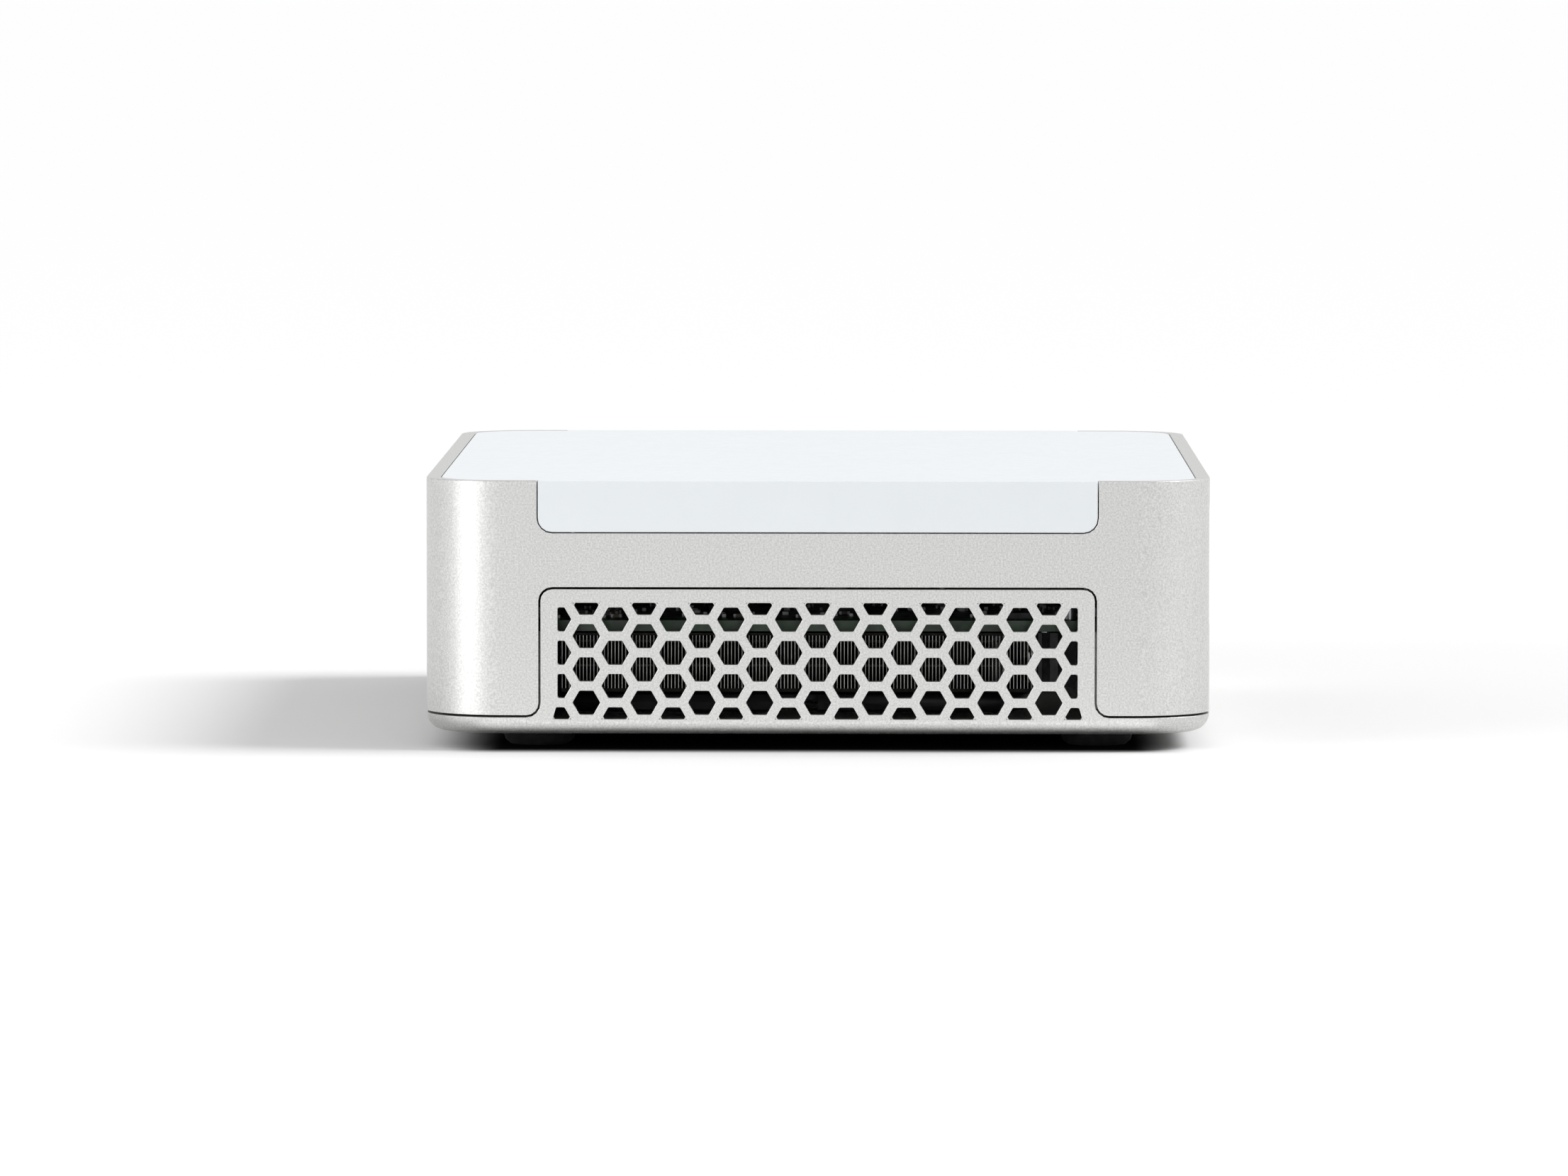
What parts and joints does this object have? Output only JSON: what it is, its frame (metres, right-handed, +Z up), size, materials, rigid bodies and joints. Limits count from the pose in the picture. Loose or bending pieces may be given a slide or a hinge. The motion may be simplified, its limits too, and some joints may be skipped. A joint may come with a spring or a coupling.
{
  "type": "mini pc",
  "caption": "Small desktop computer: a rounded aluminium ring under a white lid, on a tray with honeycomb vents, with a board, a blower cooler and ports inside.",
  "frame": {"origin": "on the plane under the feet, under the centre of the body's outline", "axes": "+X to the right side seen from the front, +Y to the rear where the power inlet is, +Z up; the front with the power button faces -Y"},
  "size_m": [0.144, 0.112, 0.0385],
  "materials": {
    "ring_metal": "bead-blasted, silver anodised",
    "lid_white": "smooth satin white",
    "foot_rubber": "matt black",
    "screw_steel": "nickel plated",
    "board_green": "solder mask over glass fibre laminate",
    "chip_black": "moulded package",
    "copper": "bare copper",
    "pipe_black": "black finish on copper pipe",
    "fin_aluminium": "thin sheet, dark finish",
    "cable_black": "coaxial jacket",
    "cell_steel": "polished can",
    "light_ring": "clear diffuser",
    "port_steel": "plated sheet steel",
    "black_plastic": "moulded"
  },
  "bodies": {
    "tray": {"bottom_tray": "ring_metal", "foot_front_left": "foot_rubber", "tray_screw_front_left": "screw_steel", "foot_front_right": "foot_rubber", "tray_screw_front_right": "screw_steel", "foot_rear_left": "foot_rubber", "tray_screw_rear_left": "screw_steel", "foot_rear_right": "foot_rubber", "tray_screw_rear_right": "screw_steel", "bracket_insert_front": "screw_steel", "bracket_insert_rear": "screw_steel"},
    "case": {"housing_ring": "ring_metal", "top_cover": "lid_white", "board_screw_front_left": "screw_steel", "board_screw_front_right": "screw_steel", "board_screw_rear_left": "screw_steel", "board_screw_rear_right": "screw_steel", "main_board": "board_green", "processor": "chip_black", "cold_plate": "copper", "heat_pipe_front": "pipe_black", "heat_pipe_rear": "pipe_black", "fin_stack": "fin_aluminium", "fan_frame": "black_plastic", "fan_cover": "black_plastic", "memory_socket_lower": "black_plastic", "memory_module_lower": "board_green", "memory_socket_upper": "black_plastic", "memory_module_upper": "board_green", "ssd_socket": "black_plastic", "ssd_card": "board_green", "ssd_standoff": "screw_steel", "ssd_screw": "screw_steel", "wifi_socket": "black_plastic", "wifi_card": "board_green", "wifi_standoff": "screw_steel", "wifi_screw": "screw_steel", "cell_holder": "black_plastic", "coin_cell": "cell_steel", "antenna_right": "copper", "antenna_left": "copper", "antenna_lead_right": "cable_black", "antenna_lead_left": "cable_black", "io_panel": "black_plastic", "dc_jack": "black_plastic", "ethernet_jack": "port_steel", "usb_a_stack": "port_steel", "hdmi_port_1": "port_steel", "hdmi_port_2": "port_steel", "usb_c_rear_1": "port_steel", "usb_c_rear_2": "port_steel", "usb_a_front_1": "port_steel", "usb_a_front_2": "port_steel", "usb_c_front": "port_steel", "button_light_ring": "light_ring", "button_switch": "black_plastic"},
    "power_button": {"power_button": "ring_metal", "switch_plunger": "black_plastic"},
    "fan_rotor": {"fan_impeller": "black_plastic"}
  },
  "joints": [
    {"name": "case_lift", "type": "slide", "parent": "tray", "child": "case", "axis": [0, 0, 1], "range_m": [0, 0.03]},
    {"name": "button_press", "type": "slide", "parent": "case", "child": "power_button", "axis": [0, 1, 0], "range_m": [0, 0.0004], "stiffness_N_per_m": 800},
    {"name": "fan_spin", "type": "hinge", "parent": "case", "child": "fan_rotor", "pos_m": [0.025, -0.003, 0.0105], "axis": [0, 0, 1], "continuous": true}
  ]
}
